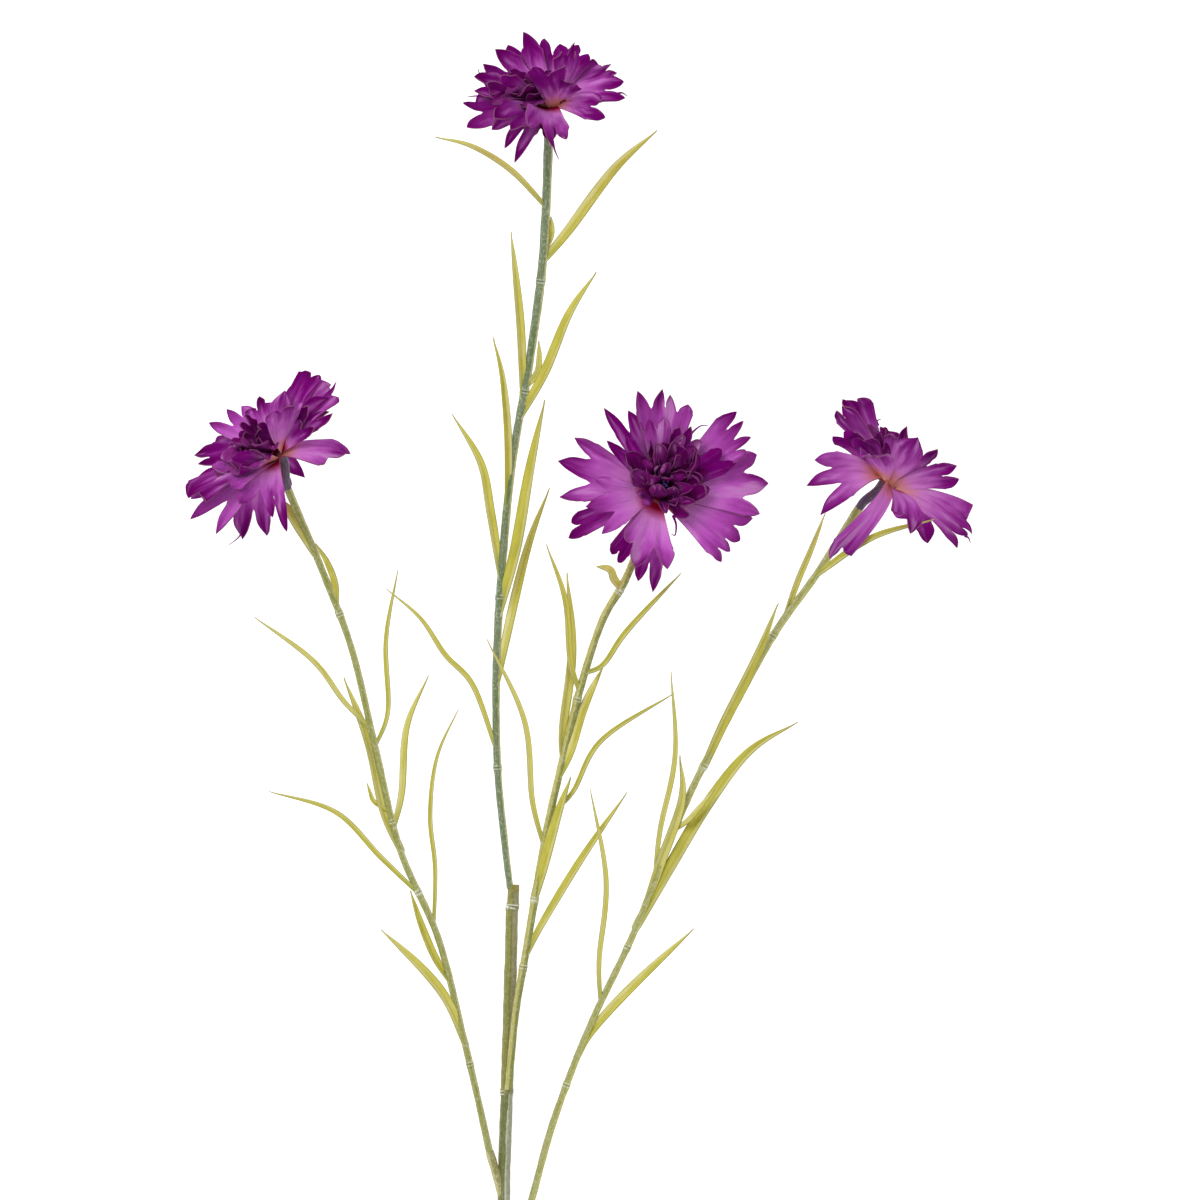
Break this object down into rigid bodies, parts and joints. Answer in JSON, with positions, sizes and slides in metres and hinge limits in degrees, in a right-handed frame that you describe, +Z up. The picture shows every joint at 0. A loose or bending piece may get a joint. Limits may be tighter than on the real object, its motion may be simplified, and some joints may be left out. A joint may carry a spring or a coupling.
{
  "type": "cornflower spray",
  "caption": "Artificial cornflower spray lying on its side: a cut stem that forks into slim leafy branches, each ending in a ragged purple flower head.",
  "frame": {"origin": "bottom of the spray, under the middle of its outline, on the surface it lies on", "axes": "+Z up from the surface, +Y along the main stem from its cut end to the flower heads, +X to the right as seen from above with the heads at the top"},
  "size_m": [0.213, 0.4288, 0.0438],
  "materials": {
    "stem_green": "dull olive",
    "leaf_green": "satin yellow-green",
    "petal_purple": "matt dyed cloth, veined",
    "floret_plum": "matt dyed cloth",
    "calyx_slate": "dull grey-violet",
    "stamen_violet": "dull"
  },
  "bodies": {
    "root": {"main_stem": "stem_green", "top_branch": "leaf_green", "top_calyx": "calyx_slate", "top_petals": "petal_purple", "top_florets": "floret_plum", "top_stamens": "stamen_violet", "left_branch": "leaf_green", "left_calyx": "calyx_slate", "left_petals": "petal_purple", "left_florets": "floret_plum", "left_stamens": "stamen_violet", "middle_branch": "leaf_green", "middle_calyx": "calyx_slate", "middle_petals": "petal_purple", "middle_florets": "floret_plum", "middle_stamens": "stamen_violet", "right_branch": "leaf_green", "right_calyx": "calyx_slate", "right_petals": "petal_purple", "right_florets": "floret_plum", "right_stamens": "stamen_violet"}
  },
  "joints": []
}
